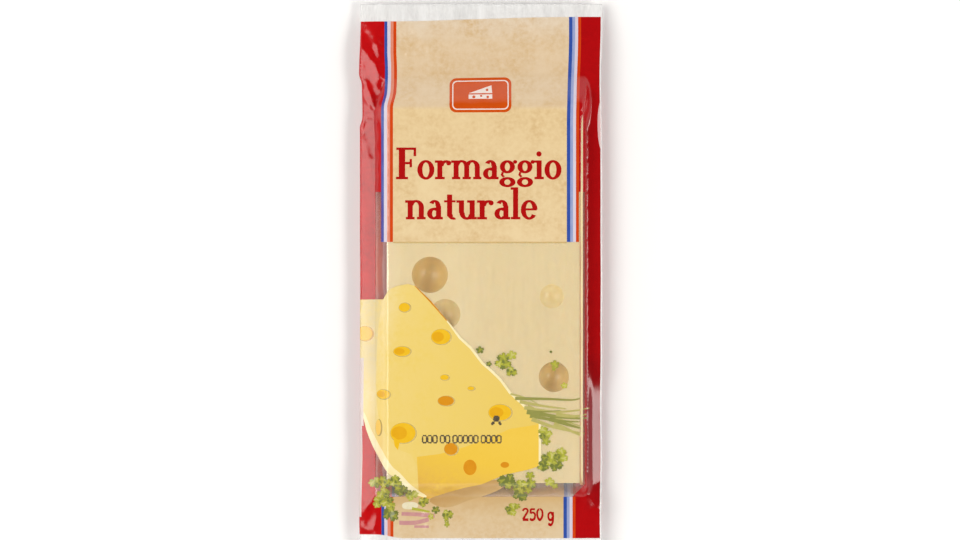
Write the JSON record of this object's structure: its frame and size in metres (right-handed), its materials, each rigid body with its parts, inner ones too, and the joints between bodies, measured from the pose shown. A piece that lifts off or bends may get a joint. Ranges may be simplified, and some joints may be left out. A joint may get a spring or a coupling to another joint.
{
  "type": "film packet of hard cheese",
  "caption": "Flat block of hard cheese with round eyes in a welded printed film packet with a clear window, a formed back and a plain header.",
  "frame": {"origin": "centre of the packet's outline, on the surface that it lies on", "axes": "+Z out of the printed front, +Y along the packet towards its header, +X to the right seen from the front"},
  "size_m": [0.1068, 0.2408, 0.0178],
  "materials": {
    "cheese": "pale ivory cheese paste, smooth cut face, waxy sheen",
    "front_film": "thin glossy film, printed red and parchment, with a clear window",
    "back_film": "thin glossy formed film, printed red and parchment"
  },
  "bodies": {
    "root": {"cheese_block": "cheese", "front_film": "front_film", "back_film": "back_film"}
  },
  "joints": []
}
